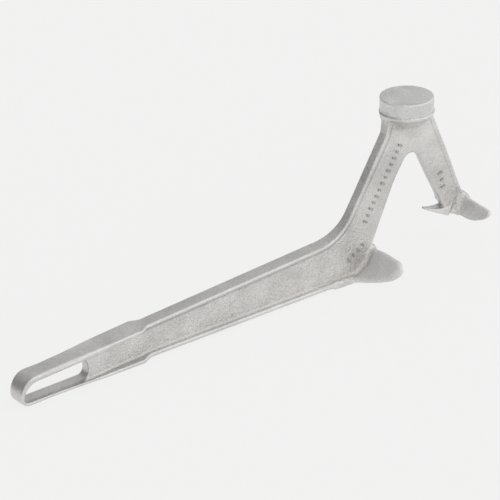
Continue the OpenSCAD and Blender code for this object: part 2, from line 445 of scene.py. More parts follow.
@dataclass
class Heel:
    """The quarter-round rocker heel that spreads to both sides under the elbow."""

    profile: Profile
    half_w: float = field(default_factory=lambda: node_size("heel_rocker", 1) / 2)
    thickness: float = 3.4
    belly_r: float = 85.0
    tip_r: float = 6.0
    edge: float = 1.45
    blend: float = 3.5
    dip: float = 1.4
    dip_y: float = 14.0
    dip_r: float = 8.0
    shoulder_r: float = 20.0
    belly_edge: float = 3.0
    corner_edge: float = 1.0
    wing_y: float = 6.6

    def plan(self) -> Outline:
        """The heel from above: a fan that spreads from the flange's width."""
        x, _ = self.profile.heel_centre
        root = node_size("elbow_strap", 1) / 2
        # How far ahead of the heel's centre, how far across, and the corner's radius
        fan = [(-9.0, root - 1, 0.0), (3.0, root + 0.5, 9.0), (14.6, self.half_w - 5.5, 12.0),
               (18.6, self.half_w, 4.0), (26.0, self.half_w, 0.0)]
        outline = Outline()
        for ahead, across, radius in fan:
            outline.corner((x + ahead, across), radius)
        for ahead, across, radius in reversed(fan):
            outline.corner((x + ahead, -across), radius)
        return outline.close()

    def front(self, y: Array, z: Array) -> Array:
        """The heel from the front: a shallow curve below and round tips."""
        belly = np.hypot(y, z - self.belly_r) - self.belly_r
        outline = Outline()
        top, below = self.profile.heel_top, -4
        outline.corner((-self.half_w, below)).corner((-self.half_w, top), self.tip_r)
        outline.corner((-self.dip_y, top), self.shoulder_r).corner((0, top - self.dip), self.dip_r)
        outline.corner((self.dip_y, top), self.shoulder_r)
        outline.corner((self.half_w, top), self.tip_r).corner((self.half_w, below))
        return round_cut(belly, outline.close().distance(y, z), self.belly_edge)

    def shell(self, x: Array, z: Array) -> Array:
        """The heel's section: flat under the handle, then a quarter round."""
        centre_x, radius = self.profile.heel_centre
        middle = radius - self.thickness / 2
        out = np.hypot(np.maximum(x - centre_x, 0), radius - z)
        return np.abs(out - middle) - self.thickness / 2

    def field(self, x: Array, y: Array, z: Array) -> Array:
        """Distance to the heel."""
        ends = round_cut(self.plan().distance(x, y), self.front(y, z), self.corner_edge)
        below = z - self.profile.heel_centre[1]
        return round_cut(np.maximum(self.shell(x, z), below), ends, self.edge)

    def cuts(self, elbow: Region) -> Cut:
        """Divide the wings of the heel from the elbow between them."""
        # The heel's wings take a rougher copy of the cast skin, painted lighter as painted light
        # for the bounce light that falls on them.
        near = Region("heel_near_wing", ("heel_rocker",), Slot.CAST, look=Look.MATT_PAINTED_LIGHT)
        far = Region("heel_far_wing", ("heel_rocker",), Slot.CAST, look=Look.MATT_PAINTED_LIGHT)
        rest = Cut((0, -self.wing_y, 0), (0, 1, 0), elbow, near)
        return Cut((0, self.wing_y, 0), (0, 1, 0), far, rest)


@dataclass
class Arm:
    """The arm, with a strap along its back, and the yoke that carries the head."""

    profile: Profile
    strap_half_w: float = field(default_factory=lambda: node_size("arm_strap", 1) / 2)
    web_half_t: float = field(default_factory=lambda: node_size("arm_web", 1) / 2)
    strap_t: float = 3.0
    inner_low: Point = (247.2, 18.6)
    inner_mid: Point = (267.0, 53.7)
    crotch: Point = (281.6, 73.0)
    crotch_r: float = 5.6
    web_edge: float = 2.0
    fillet: float = 0.8
    cut_gap: float = 1.3
    yoke_x: float = 274.0

    @property
    def elbow(self) -> Region:
        """The elbow, as one piece."""
        return Region("elbow_body", ("elbow_web", "elbow_strap"), Slot.CAST)

    def cuts(self, yoke_and_leg: "Cut | Region", head: Region) -> Cut:
        """Divide the head, then the arm's strap and web from the yoke.

        Args:
            yoke_and_leg: The cuts ahead of the arm.
            head: The region of the hammer head.

        Returns:
            The cuts of everything above the elbow.
        """
        profile = self.profile
        out = (-profile.arm_way[1], profile.arm_way[0])
        depth = along(profile.arm_cut, out, -(self.strap_t + self.cut_gap))
        strap = Region("arm_strap_body", ("arm_strap",), Slot.CAST)
        web = Region("arm_web_body", ("arm_web",), Slot.CAST)
        arm = side_cut(depth, out, strap, web)
        under_head = side_cut((self.yoke_x, 0), (1, 0), yoke_and_leg, arm)
        base = along(profile.head_face, profile.head_axis, -HammerHead.thickness)
        return side_cut(base, profile.head_axis, head, under_head)


@dataclass
class HammerHead:
    """The round hammer head with the flare below it."""

    profile: Profile
    radius: float = field(default_factory=lambda: node_size("hammer_head", 1) / 2)
    thickness: float = 10.8
    face_edge: float = 0.6
    flare_h: float = 6.0
    flare_angle: float = 45.0
    flare_inset: float = 0.8
    flare_lap: float = 1.0
    flare_edge: float = 1.0
    neck_blend: float = 0.6
    blend: float = 3.5

    @property
    def region(self) -> Region:
        """The head as a region."""
        return Region("hammer_head_body", ("hammer_head",), Slot.STRUCK)

    @property
    def base(self) -> Point:
        """The middle of the head's underside."""
        return along(self.profile.head_face, self.profile.head_axis, -self.thickness)

    def field(self, x: Array, y: Array, z: Array) -> Array:
        """Distance to the head and its flare."""
        (base_x, base_z), (axis_x, axis_z) = self.base, self.profile.head_axis
        up = (x - base_x) * axis_x + (z - base_z) * axis_z
        across = (x - base_x) * axis_z - (z - base_z) * axis_x
        out = np.hypot(across, y)
        disc = round_cut(out - self.radius, np.abs(up - self.thickness / 2) - self.thickness / 2,
                         self.face_edge)
        cone = (out - (self.radius - self.flare_inset) - up) * math.cos(
            math.radians(self.flare_angle))
        depth = np.abs(up + self.flare_h / 2 - self.flare_lap) - self.flare_h / 2 - self.flare_lap
        return round_join(disc, round_cut(cone, depth, self.flare_edge), self.neck_blend)


@dataclass
class Leg:
    """The leg with the ridge along its outer face."""

    profile: Profile
    ridge_half_w: float = field(default_factory=lambda: node_size("leg_ridge", 1) / 2)
    ridge_t: float = 2.4
    cut_gap: float = 1.2
    outer_mid: Point = (303.9, 60.0)
    outer_r: float = 80.0
    yoke_way: Point = (0.106, 0.994)
    inner_mid: Point = (288.9, 50.1)
    inner_low: Point = (295.4, 31.2)
    corner: Point = (298.6, 19.6)

    def cuts(self, toe: "Toe", claw: "Claw") -> Cut:
        """Divide the yoke, the claw, the toe's wings, the ridge and the web."""
        yoke = Region("yoke_body", ("yoke", "head_flare"), Slot.CAST)
        ridge = Region("leg_ridge_body", ("leg_ridge",), Slot.CAST)
        web = Region("leg_web_body", ("leg_web",), Slot.CAST)
        toe_top = toe.top
        lean = Vector((toe_top[0] - self.outer_mid[0], toe_top[1] - self.outer_mid[1])).normalized()
        ahead = (-lean.y, lean.x)
        inside = along(self.outer_mid, ahead, -(self.ridge_t + self.cut_gap))
        middle = side_cut(inside, ahead, ridge, web)
        below = claw.cuts(toe.cuts(middle))
        return side_cut(self.outer_mid, self.yoke_way, yoke, below)


@dataclass
class Toe:
    """The curled toe that spreads to both sides at the leg's foot."""

    profile: Profile
    half_w: float = field(default_factory=lambda: node_size("toe_foot", 1) / 2)
    radius: float = 12.0
    thickness: float = 2.6
    low: float = 18.3
    tip_z: float = 25.3
    high: float = 26.8
    top: Point = (310.9, 31.0)
    curl_from: float = -6.0
    curl_to: float = -62.0
    root_ahead: float = 2.5
    edge: float = 1.1
    blend: float = 5.0
    wing_y: float = 6.4

    def section(self, x: Array, z: Array) -> Array:
        """The curl in the side view, open at the leg."""
        centre_x, centre_z = self.profile.toe_centre
        middle = self.radius - self.thickness / 2
        curl = np.abs(np.hypot(x - centre_x, z - centre_z) - middle) - self.thickness / 2
        return np.maximum(curl, centre_x + self.root_ahead - x)

    def field(self, x: Array, y: Array, z: Array) -> Array:
        """Distance to the toe's wings."""
        # How far across, how high, and the corner's radius
        wing = [(0.0, self.low, 60.0), (14.0, self.low + 0.6, 40.0),
                (21.0, self.low + 1.2, 20.0), (self.half_w - 3.4, self.low + 3.2, 8.0),
                (self.half_w + 0.3, self.tip_z + 0.6, 2.2), (self.half_w - 5.0, self.high, 12.0)]
        front = Outline()
        for across, height, radius in wing:
            front.corner((across, height), radius)
        for across, height, radius in reversed(wing[1:]):
            front.corner((-across, height), radius)
        return round_cut(self.section(x, z), front.close().distance(y, z), self.edge)

    def cuts(self, leg: Cut) -> Cut:
        """Divide the wings of the toe from the leg between them."""
        # The toe's wings take a rougher copy of the cast skin, painted lighter as painted light for
        # the bounce light that falls on them.
        near = Region("toe_near_wing", ("toe_foot",), Slot.CAST, look=Look.MATT_PAINTED_LIGHT)
        far = Region("toe_far_wing", ("toe_foot",), Slot.CAST, look=Look.MATT_PAINTED_LIGHT)
        rest = Cut((0, -self.wing_y, 0), (0, 1, 0), leg, near)
        return Cut((0, self.wing_y, 0), (0, 1, 0), far, rest)


@dataclass
class Claw:
    """The small claw that points back from the leg's foot."""

    root: Point = (300.0, 20.4)
    tip: Point = (285.4, 28.6)
    root_half_w: float = 4.5
    tip_half_w: float = 1.4
    tip_t: float = 1.3
    root_t: float = 6.5
    shoulder: float = 0.3
    edge: float = 0.5
    blend: float = 1.5
    cut_at: Point = (298.0, 19.6)
    cut_way: Point = (-1.0, -0.345)

    def field(self, x: Array, y: Array, z: Array) -> Array:
        """Distance to the claw."""
        run = Vector((self.tip[0] - self.root[0], self.tip[1] - self.root[1]))
        length, way = run.length, run.normalized()
        out = (x - self.root[0]) * way.x + (z - self.root[1]) * way.y
        up = (x - self.root[0]) * way.y - (z - self.root[1]) * way.x
        taper = np.clip((out / length - self.shoulder) / (1 - self.shoulder), 0, 1.2)
        half_w = self.root_half_w + (self.tip_half_w - self.root_half_w) * taper
        share = np.clip(1 - out / length, 0, 1)
        half_t = (self.tip_t + (self.root_t - self.tip_t) * share * share) / 2
        plate = round_cut(np.abs(up - half_t + self.tip_t) - half_t,
                          np.abs(y) - half_w, self.edge)
        return round_cut(plate, np.abs(out - length / 2) - length / 2, self.edge)

    def cuts(self, leg: Cut) -> Cut:
        """Divide the claw's blade from the leg."""
        blade = Region("claw_blade", ("claw",), Slot.CAST)
        return side_cut(self.cut_at, self.cut_way, blade, leg)


@dataclass
class Casting:
    """The whole casting: its regions joined into one skin, meshed and divided."""

    profile: Profile = field(default_factory=Profile)
    cell: float = 0.7
    margin: float = 1.8
    foot_x: float = 290.0
    foot_z: float = 55.0
    slope_step: float = 0.2
    least_slope: float = 0.25
    settle_rounds: int = 2
    curve_step: float = 0.7
    curve_gain: float = 3.0
    aside: tuple[float, float, float] = (0.31, 0.83, 0.46)

    def __post_init__(self) -> None:
        """Make the regions."""
        self.handle = Handle(self.profile)
        self.heel = Heel(self.profile)
        self.arm = Arm(self.profile)
        self.head = HammerHead(self.profile)
        self.leg = Leg(self.profile)
        self.toe = Toe(self.profile)
        self.claw = Claw()
        self.reach = (CAD_HIGH.x - CAD_LOW.x) / MM
        self.outer = self._outer_line()
        self.inner = self._inner_line()

    def _outer_line(self) -> Outline:
        """The outer line of the side view."""
        p, handle, arm, leg, toe = self.profile, self.handle, self.arm, self.leg, self.toe
        heel_x, heel_r = p.heel_centre
        inside_head = along(p.head_face, p.head_axis, -self.head.thickness + 2)
        line = Outline()
        handle.round_end(line, 0, 0, handle.low_r, p.top(0))
        line.corner(p.elbow_top, p.elbow_r).corner(p.arm_back_top, p.kink_r)
        line.corner(along(self.head.base, p.head_across, -self.head.radius + 0.6))
        line.corner(along(inside_head, p.head_across, -self.head.radius + 2))
        line.corner(along(inside_head, p.head_across, self.head.radius - 2))
        line.corner(along(self.head.base, p.head_across, self.head.radius - 1.2))
        line.corner(leg.outer_mid, leg.outer_r).corner(toe.top, 5)
        line.arc(p.toe_centre, toe.radius, toe.curl_from, toe.curl_to)
        line.corner(leg.corner, 1.2).corner(leg.inner_low, 14).corner(leg.inner_mid, 30)
        line.corner(arm.crotch, arm.crotch_r).corner(arm.inner_mid, 60)
        line.corner(arm.inner_low, 1.5).arc(p.heel_centre, heel_r, -14, -90)
        line.corner((heel_x - 5, 0), 20).corner((heel_x - 14, p.shank_gap), 20)
        line.corner((p.step_x + p.step_l / 2, p.shank_gap), p.step_r)
        line.corner((p.step_x - p.step_l / 2, 0), p.step_r)
        return line.close()

    def _inner_line(self) -> Outline:
        """The line inside the flanges and straps, open past the arm's inner edge."""
        p, handle, arm, leg, toe = self.profile, self.handle, self.arm, self.leg, self.toe
        up = direction(p.top_angle + 90)
        out = (-p.arm_way[1], p.arm_way[0])
        flange, strap = handle.flange_t, arm.strap_t
        bend = along(along(p.elbow_top, up, -flange), direction(p.top_angle), flange / 2)
        kink = along(along(p.arm_back_top, out, -strap), p.arm_way, -0.5)
        under_head = along(self.head.base, p.head_axis, 1)
        line = Outline()
        handle.round_end(line, handle.end_strap_t, handle.lower_strap_t, handle.inner_low_r,
                         p.top(0) - handle.strap_t)
        line.corner((handle.slot_end_x, p.top(handle.slot_end_x) - handle.strap_t),
                    handle.inner_r)
        line.corner((p.step_x, p.top(p.step_x) - flange), handle.inner_r)
        line.corner(bend, p.elbow_r + flange).corner(kink, p.kink_r)
        line.corner(along(under_head, p.head_across, -self.head.radius + strap + 1.5))
        line.corner(along(under_head, p.head_across, self.head.radius - 4))
        line.corner((leg.outer_mid[0] - leg.ridge_t, leg.outer_mid[1]), leg.outer_r)
        line.corner((toe.top[0] - leg.ridge_t, toe.top[1]), 10)
        line.corner((toe.top[0] - leg.ridge_t - 4, toe.low + 1), 4).corner((leg.corner[0], 10))
        line.corner((p.heel_centre[0] + 30, p.shank_gap + flange))
        line.corner((p.step_x + p.step_l / 2, p.shank_gap + flange), p.step_r)
        line.corner((p.step_x - p.step_l / 2, flange), p.step_r)
        line.corner((handle.slot_end_x, handle.lower_strap_t), handle.inner_r)
        return line.close()

    def half_width(self, x: Array, z: Array) -> Array:
        """Half of the width over the flanges, straps and ridge."""
        p, arm, leg = self.profile, self.arm, self.leg
        handle = self.handle.half_width(x, z)
        bend = ramp(x, p.bend_start_x - 4, p.arm_cut[0] + 4)
        foot = ramp(x, p.head_face[0], leg.outer_mid[0])
        strap = arm.strap_half_w + (leg.ridge_half_w - arm.strap_half_w) * foot
        return handle + (strap - handle) * bend

    def field(self, x: Array, y: Array, z: Array) -> Array:
        """Distance to the whole casting, negative inside.

        Args:
            x: Distance from the grip's end.
            y: Distance from the middle plane.
            z: Height above the rest plane.

        Returns:
            The distance at every place.
        """
        p, handle, arm = self.profile, self.handle, self.arm
        bend = ramp(x, p.elbow_cut_x, p.arm_cut[0])
        side, inside = self.outer.distance(x, z), self.inner.distance(x, z)
        half_w = self.half_width(x, z)
        loop = 1 - ramp(x, *handle.web_thins)
        softness = (1 - ramp(x, *handle.soft_fall)) * ramp(x, *handle.soft_rise)
        soft = handle.edge + handle.soft_edge * softness
        web_half = handle.web_half_t + (arm.web_half_t - handle.web_half_t) * bend
        web_half = web_half + (handle.web_root_half_t - handle.web_half_t) * loop
        web_edge = handle.edge + (arm.web_edge - handle.edge) * bend
        fillet = handle.fillet + (arm.fillet - handle.fillet) * bend
        crown = handle.crown * (1 - bend) * (1 - np.clip(y / half_w, -1, 1) ** 2)
        web = round_cut(round_cut(side, np.abs(y) - web_half, web_edge),
                        -handle.slot(x, z), handle.edge)
        rim = round_cut(side, np.abs(y) - half_w, soft)
        rim = round_cut(rim, -inside - crown, handle.inner_edge)
        body = np.maximum(round_join(web, rim, fillet), side)
        body = round_join(body, self.heel.field(x, y, z), self.heel.blend)
        body = round_join(body, self.head.field(x, y, z), self.head.blend)
        body = round_join(body, self.toe.field(x, y, z), self.toe.blend)
        at_foot = (x > self.foot_x) & (z < self.foot_z)
        shadow = np.minimum(side, self.toe.section(x, z))
        body = np.where(at_foot, np.maximum(body, shadow), body)
        body = round_join(body, self.claw.field(x, y, z), self.claw.blend)
        return np.maximum(body, np.maximum(-z, x - self.reach))

    def slope(self, at: Array) -> Array:
        """The field's unit gradient, which is the skin's normal.

        Args:
            at: Places, one row each.

        Returns:
            A unit vector for each place.
        """
        rows = []
        for axis in range(3):
            step = np.zeros(3)
            step[axis] = self.slope_step
            rows.append(self.field(*(at + step).T) - self.field(*(at - step).T))
        way = np.stack(rows, axis=1)
        return way / np.maximum(np.linalg.norm(way, axis=1, keepdims=True), 1e-9)

    def settle(self, at: Array) -> Array:
        """Move places that are near the skin onto it.

        Args:
            at: Places, one row each.

        Returns:
            The same places on the skin.
        """
        here = self.field(*at.T)
        steps = np.eye(3) * self.slope_step
        rise = [(self.field(*(at + step).T) - here) / self.slope_step for step in steps]
        way = np.stack(rise, axis=1)
        square = np.maximum((way * way).sum(axis=1), self.least_slope)
        return at - way * (here / square)[:, None]

    def curvature(self, at: Array, normal: Array) -> Array:
        """How much the skin bends outwards at each place, from -1 to 1.

        Args:
            at: Places, one row each.
            normal: The skin's normal at each.

        Returns:
            Positive on outer edges, negative in hollows.
        """
        aside = np.cross(normal, self.aside)
        aside /= np.linalg.norm(aside, axis=1, keepdims=True)
        other = np.cross(normal, aside)
        bend = sum(
            self.field(*(at + sign * self.curve_step * way).T)
            for way in (aside, other)
            for sign in (-1, 1)
        )
        return np.clip(bend / (4 * self.curve_step) * self.curve_gain, -1, 1)

    def mesh(self) -> tuple[Array, Array]:
        """Mesh the skin with one point in each cell that it crosses.

        Returns:
            The points in millimetres and the four-sided faces.
        """
        low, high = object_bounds()
        size = [(high[i] - low[i]) / MM for i in range(3)]
        starts = (-self.margin, -size[1] / 2 - self.margin, -self.margin)
        axes = [
            np.arange(start, start + length + 2 * self.margin + self.cell, self.cell,
                      dtype=np.float32)
            for start, length in zip(starts, size, strict=True)
        ]
        grid = self.field(axes[0][:, None, None], axes[1][None, :, None], axes[2][None, None, :])
        points, faces = cell_mesh(grid, np.array(starts), self.cell)
        for _ in range(self.settle_rounds):
            points = self.settle(points)
        return points, faces

    def cuts(self) -> Cut:
        """All the cuts that divide the casting into its regions."""
        upper = self.arm.cuts(self.leg.cuts(self.toe, self.claw), self.head.region)
        lower = self.heel.cuts(self.arm.elbow)
        rest = side_cut(self.profile.arm_cut, self.profile.arm_way, upper, lower)
        return self.handle.cuts(rest)

    def build(self) -> list[tuple[Region, bpy.types.Object]]:
        """Mesh the casting and divide it.

        Returns:
            Each region with its finished object.
        """
        points, faces = self.mesh()
        log.info("casting: %d points, %d faces", len(points), len(faces))
        whole = bmesh.new()
        base = bpy.data.meshes.new("casting")
        base.from_pydata(points, [], faces)
        whole.from_mesh(base)
        bpy.data.meshes.remove(base)
        whole.faces.layers.int.new("cap")
        return [(region, self._finish(region, part)) for region, part in divide(whole, self.cuts())]

    def _finish(self, region: Region, part: bmesh.types.BMesh) -> bpy.types.Object:
        """Make a region's object, with the field's own normals on its skin.

        Args:
            region: The region.
            part: Its mesh in millimetres.

        Returns:
            The object, in metres in the tool's frame.
        """
        mesh = bpy.data.meshes.new(region.name)
        part.to_mesh(mesh)
        part.free()
        count = len(mesh.vertices)
        at = np.empty(count * 3)
        mesh.vertices.foreach_get("co", at)
        at = at.reshape(-1, 3)
        normal = self.slope(at)
        bend = mesh.attributes.new("bend", "FLOAT", "POINT")
        bend.data.foreach_set("value", self.curvature(at, normal).astype(np.float32))
        mesh.vertices.foreach_set("co", in_frame(at).ravel())
        mesh.update()
        loops = np.empty(len(mesh.loops), dtype=np.int32)
        mesh.loops.foreach_get("vertex_index", loops)
        lengths = np.empty(len(mesh.polygons), dtype=np.int32)
        mesh.polygons.foreach_get("loop_total", lengths)
        flat = np.empty(len(mesh.polygons) * 3)
        mesh.polygons.foreach_get("normal", flat)
        cap = np.empty(len(mesh.polygons), dtype=np.int32)
        mesh.attributes["cap"].data.foreach_get("value", cap)
        on_cap = np.repeat(cap, lengths) == 1
        split = np.where(on_cap[:, None], np.repeat(flat.reshape(-1, 3), lengths, axis=0),
                         normal[loops])
        mesh.attributes.remove(mesh.attributes["cap"])
        mesh.shade_smooth()
        mesh.normals_split_custom_set(split)
        piece = bpy.data.objects.new(region.name, mesh)
        bpy.context.collection.objects.link(piece)
        return piece


def in_frame(at: Array) -> Array:
    """Move places from the side view's millimetres to the frame's metres."""
    return at * MM + np.array((CAD_LOW.x, (CAD_LOW.y + CAD_HIGH.y) / 2, CAD_LOW.z))


def cell_mesh(grid: Array, start: Array, cell: float) -> tuple[Array, Array]:
    """Mesh where a grid of distances changes sign.

    Args:
        grid: Distances at the grid's corners.
        start: Place of the grid's first corner.
        cell: Length of a cell's side.

    Returns:
        One point for each crossed cell, and a face for each crossed grid line.
    """
    inside = grid < 0
    shape = np.array(grid.shape) - 1
    total = np.zeros((*shape, 3), dtype=np.float32)
    count = np.zeros(shape, dtype=np.float32)
    crossings = []
    for axis in range(3):
        ahead = [slice(None)] * 3
        behind = [slice(None)] * 3
        ahead[axis], behind[axis] = slice(1, None), slice(None, -1)
        crossed = inside[tuple(ahead)] != inside[tuple(behind)]
        at = np.argwhere(crossed)
        first = grid[tuple(behind)][crossed]
        second = grid[tuple(ahead)][crossed]
        share = first / (first - second)
        places = at.astype(np.float32)
        places[:, axis] += share
        others = [a for a in range(3) if a != axis]
        for shift_a in (0, 1):
            for shift_b in (0, 1):
                owner = at.copy()
                owner[:, others[0]] -= shift_a
                owner[:, others[1]] -= shift_b
                index = tuple(owner.T)
                np.add.at(count, index, 1)
                np.add.at(total, index, places)
        crossings.append((axis, others, at, inside[tuple(behind)][crossed]))
    used = count > 0
    number = np.full(shape, -1, dtype=np.int64)
    number[used] = np.arange(used.sum())
    points = total[used] / count[used][:, None]
    faces = []
    for axis, others, at, solid in crossings:
        ring = []
        for shift_a, shift_b in ((0, 0), (1, 0), (1, 1), (0, 1)):
            owner = at.copy()
            owner[:, others[0]] -= shift_a
            owner[:, others[1]] -= shift_b
            ring.append(number[tuple(owner.T)])
        quad = np.stack(ring, axis=1)
        flip = solid == (axis == 1)
        quad[flip] = quad[flip][:, ::-1]
        faces.append(quad)
    return points * cell + start, np.concatenate(faces)


def divide(part: bmesh.types.BMesh, cut: "Cut | Region") -> list[tuple[Region, bmesh.types.BMesh]]:
    """Divide a closed mesh along a tree of flat cuts.

    Args:
        part: The mesh, which is used up.
        cut: The cut to make, or the region that the mesh already is.

    Returns:
        Each region with its own closed mesh.
    """
    if isinstance(cut, Region):
        return [(cut, part)]
    other = part.copy()
    found = []
    for side, mesh, rest in ((1, part, cut.ahead), (-1, other, cut.behind)):
        normal = Vector(cut.normal) * side
        every = mesh.verts[:] + mesh.edges[:] + mesh.faces[:]
        made = bmesh.ops.bisect_plane(mesh, geom=every, plane_co=cut.point, plane_no=normal,
                                      clear_inner=True, dist=CUT_TOLERANCE)
        edges = [e for e in made["geom_cut"] if isinstance(e, bmesh.types.BMEdge) and e.is_boundary]
        cap = mesh.faces.layers.int["cap"]
        filled = bmesh.ops.triangle_fill(mesh, edges=edges, use_beauty=True, normal=-normal)
        for face in filled["geom"]:
            if isinstance(face, bmesh.types.BMFace):
                face[cap] = 1
                if face.normal.dot(normal) > 0:
                    face.normal_flip()
        found += divide(mesh, rest)
    return found


# ---------------------------------------------------------------- raised marks


@dataclass(frozen=True)
class MarkRow:
    """A row of plain raised bars along the near face of a web, every second one shorter."""

    name: str
    node: str
    start: Point
    way: Point
    count: int
    pitch: float
    length: float = 3.2
    width: float = 1.5
    height: float = 0.55
    sunk: float = 0.4
    shorter: float = 0.3
    bevel: float = 0.2

    def build(self, face_y: float) -> bpy.types.Object:
        """Build the row.

        Args:
            face_y: How far the web's near face lies from the middle plane.

        Returns:
            The row as one object.
        """
        mesh = bmesh.new()
        turn = math.atan2(self.way[1], self.way[0])
        depth = self.height + self.sunk
        for i in range(self.count):
            at = along(self.start, self.way, i * self.pitch)
            length = self.length * (1 - self.shorter * (i % 2))
            bar = bmesh.ops.create_cube(mesh, size=1.0)["verts"]
            bmesh.ops.scale(mesh, vec=(self.width, depth, length), verts=bar)
            bmesh.ops.rotate(mesh, matrix=Matrix.Rotation(-turn, 3, "Y"), verts=bar)
            middle_y = -face_y + self.sunk - depth / 2
            bmesh.ops.translate(mesh, vec=(at[0], middle_y, at[1]), verts=bar)
        bmesh.ops.bevel(mesh, geom=mesh.edges[:], offset=self.bevel, segments=2, affect="EDGES")
        data = bpy.data.meshes.new(self.name)
        mesh.to_mesh(data)
        mesh.free()
        places = np.empty(len(data.vertices) * 3)
        data.vertices.foreach_get("co", places)
        data.vertices.foreach_set("co", in_frame(places.reshape(-1, 3)).ravel())
        piece = bpy.data.objects.new(self.name, data)
        bpy.context.collection.objects.link(piece)
        return piece


# ---------------------------------------------------------------- shader expressions


class Signal:
    """A shader socket that takes part in Python expressions."""

    def __init__(self, graph: "Graph", socket: bpy.types.NodeSocket) -> None:
        """Keep the socket and its graph."""
        self.graph, self.socket = graph, socket

    def _math(self, operation: str, first: "Signal | float", second: "Signal | float") -> "Signal":
        """A Math node on two numbers."""
        return self.graph.node("ShaderNodeMath", {"operation": operation}, {0: first, 1: second})

    def __add__(self, other: "Signal | float") -> "Signal":
        """Sum."""
        return self._math("ADD", self, other)

    def __radd__(self, other: float) -> "Signal":
        """Sum, number first."""
        return self._math("ADD", other, self)

    def __sub__(self, other: "Signal | float") -> "Signal":
        """Difference."""
        return self._math("SUBTRACT", self, other)

    def __rsub__(self, other: float) -> "Signal":
        """Difference, number first."""
        return self._math("SUBTRACT", other, self)

    def __mul__(self, other: "Signal | float") -> "Signal":
        """Product."""
        return self._math("MULTIPLY", self, other)

    def __rmul__(self, other: float) -> "Signal":
        """Product, number first."""
        return self._math("MULTIPLY", other, self)

    def clipped(self, low: float = 0.0, high: float = 1.0) -> "Signal":
        """Kept between two numbers."""
        return self._math("MINIMUM", self._math("MAXIMUM", self, low), high)


class Graph:
    """A node tree that is written as expressions."""

    def __init__(self, tree: bpy.types.NodeTree) -> None:
        """Start from an empty tree."""
        self.tree = tree
        tree.nodes.clear()

    def node(self, kind: str, settings: dict | None = None, sockets: dict | None = None,
             out: int | str = 0) -> Signal:
        """Make a node.

        Args:
            kind: The node's type.
            settings: Its settings, which are set first. A ramp's are under "stops".
            sockets: Values or signals of its inputs, by name, identifier or place.
            out: Which output to return.

        Returns:
            The chosen output.
        """
        made = self.tree.nodes.new(kind)
        for name, value in (settings or {}).items():
            if name == "stops":
                self._stops(made.color_ramp, value)
            else:
                setattr(made, name, value)
        by_identifier = {s.identifier: s for s in made.inputs}
        for name, value in (sockets or {}).items():
            target = by_identifier.get(name) or made.inputs[name]
            if isinstance(value, Signal):
                self.tree.links.new(value.socket, target)
            else:
                target.default_value = value
        return Signal(self, made.outputs[out]) if made.outputs else None

    @staticmethod
    def _stops(scale: bpy.types.ColorRamp, stops: list[tuple[float, float]]) -> None:
        """Set a ramp's stops, each a place and a grey."""
        while len(scale.elements) < len(stops):
            scale.elements.new(0.5)
        for element, (place, grey) in zip(scale.elements, stops, strict=True):
            element.position, element.color = place, (grey, grey, grey, 1)

    def noise(self, at: Signal, size: float, detail: float = 3.0, rough: float = 0.5) -> Signal:
        """Noise with features of a size in millimetres, from 0 to 1."""
        return self.node("ShaderNodeTexNoise", {}, {
            "Vector": at, "Scale": 1 / (size * MM), "Detail": detail, "Roughness": rough})

    def tint(self, first: tuple | Signal, second: tuple | Signal, share: Signal) -> Signal:
        """A colour between two colours."""
        return self.node("ShaderNodeMix", {"data_type": "RGBA", "blend_type": "MIX"}, {
            "Factor_Float": share, "A_Color": first, "B_Color": second}, out=2)


